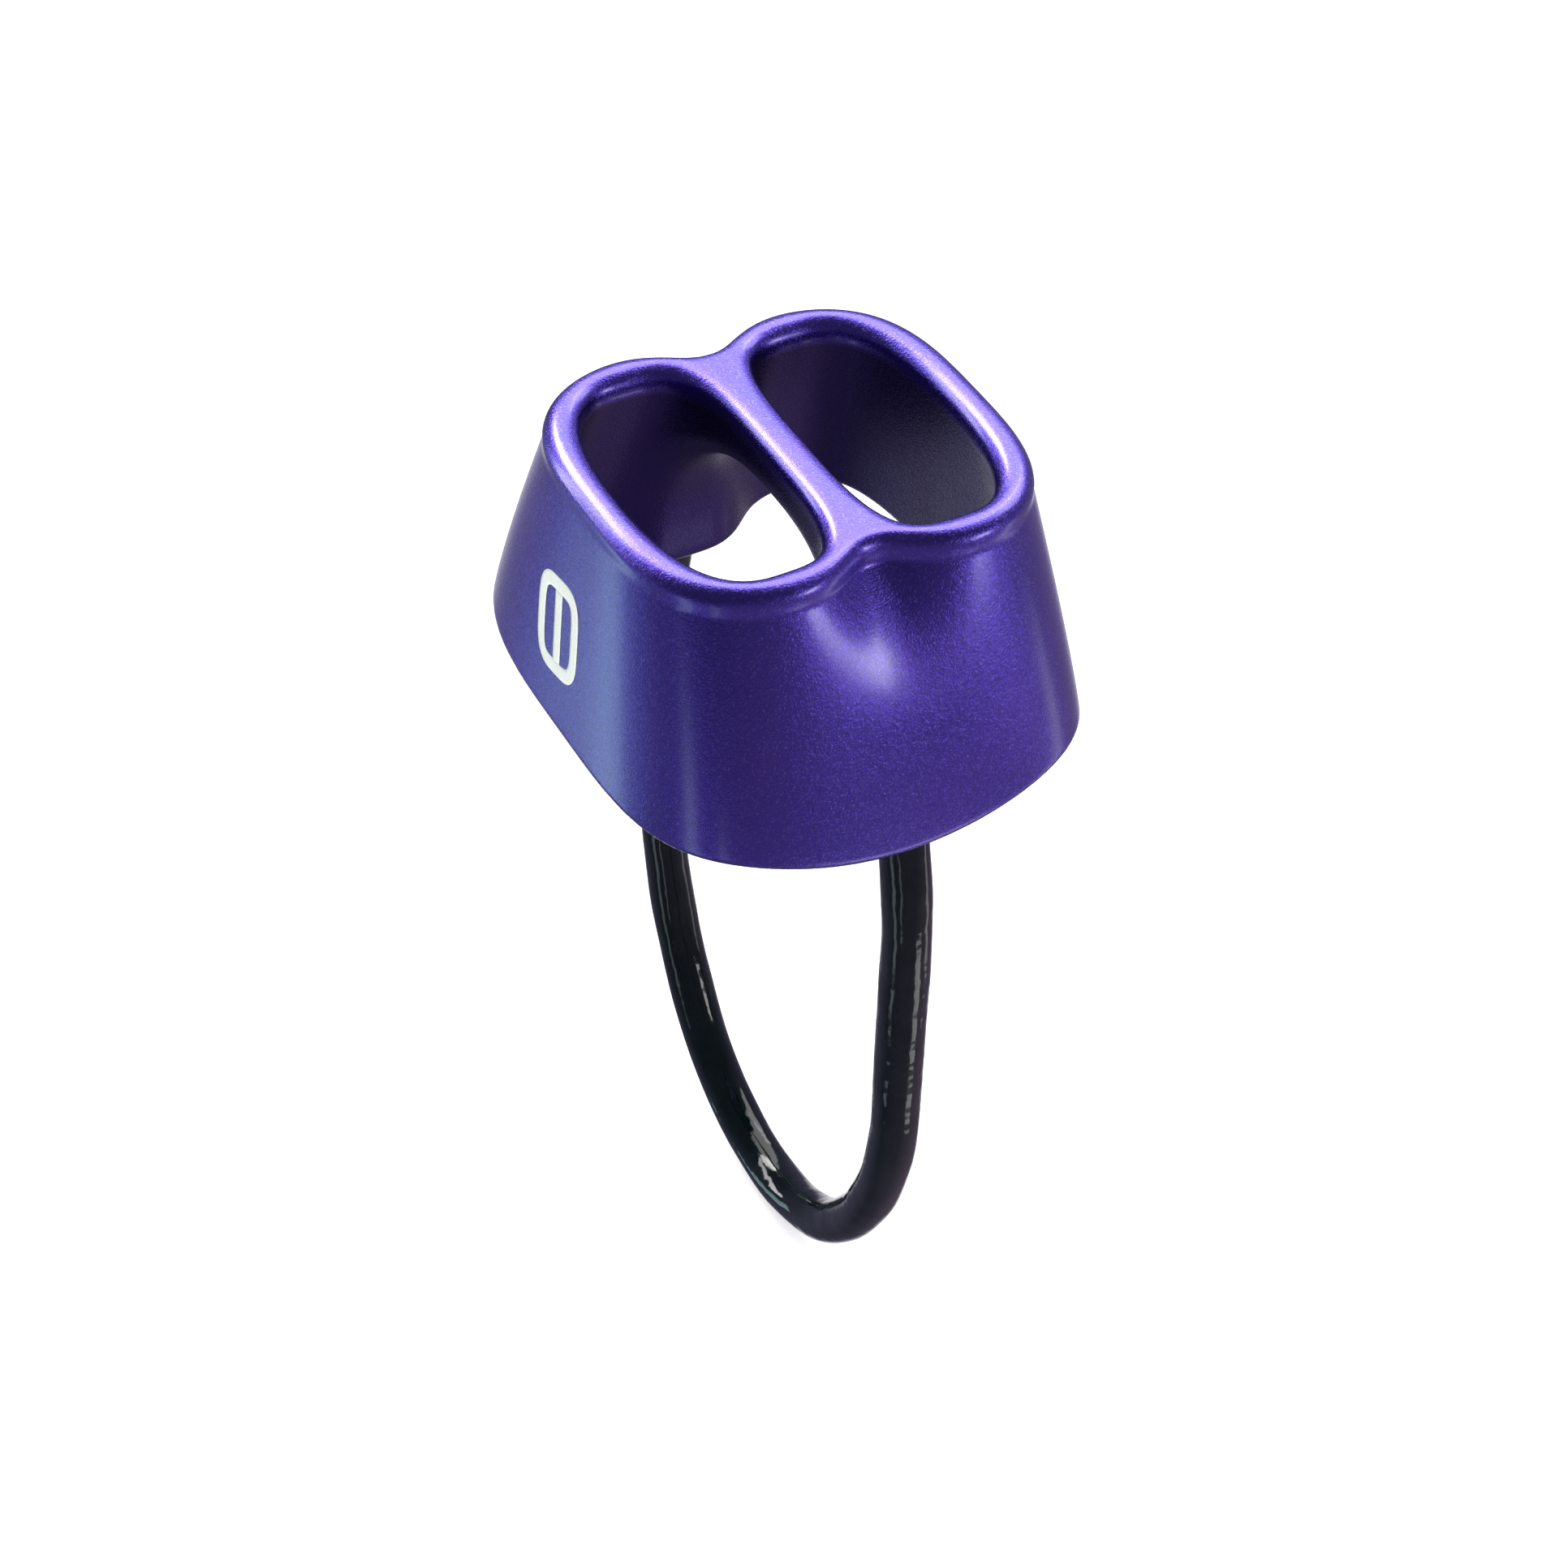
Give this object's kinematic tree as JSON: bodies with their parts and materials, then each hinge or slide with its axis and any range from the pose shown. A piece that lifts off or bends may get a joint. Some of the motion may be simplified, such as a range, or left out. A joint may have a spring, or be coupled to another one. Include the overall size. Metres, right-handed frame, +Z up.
{
  "type": "belay device",
  "caption": "Tubular climbing belay device: a flared anodised metal tube with paired rope slots under a divider bar and a coated cable keeper loop that swings.",
  "frame": {"origin": "middle of the open mouth, level with the lowest points of its rim", "axes": "+Z up through the crown, X across the two rope slots, Y along the divider bar; the keeper loop hangs down in the YZ plane"},
  "size_m": [0.045, 0.0536, 0.0977],
  "materials": {
    "anodised": "bead-blasted violet anodising, satin",
    "ferrule": "plain crimped sleeve",
    "cable_steel": "stranded wire",
    "jacket": "glossy extruded jacket"
  },
  "bodies": {
    "housing_body": {"housing": "anodised", "front_ferrule": "ferrule", "rear_ferrule": "ferrule", "front_core_root": "cable_steel", "rear_core_root": "cable_steel", "front_jacket_root": "jacket", "rear_jacket_root": "jacket"},
    "loop_body": {"loop_core": "cable_steel", "loop_jacket": "jacket"}
  },
  "joints": [
    {"name": "loop_swing", "type": "hinge", "parent": "housing_body", "child": "loop_body", "pos_m": [0, 0, -0.0032], "axis": [0, 1, 0], "range_deg": [-60, 60], "stiffness_Nm_per_rad": 0.3}
  ]
}
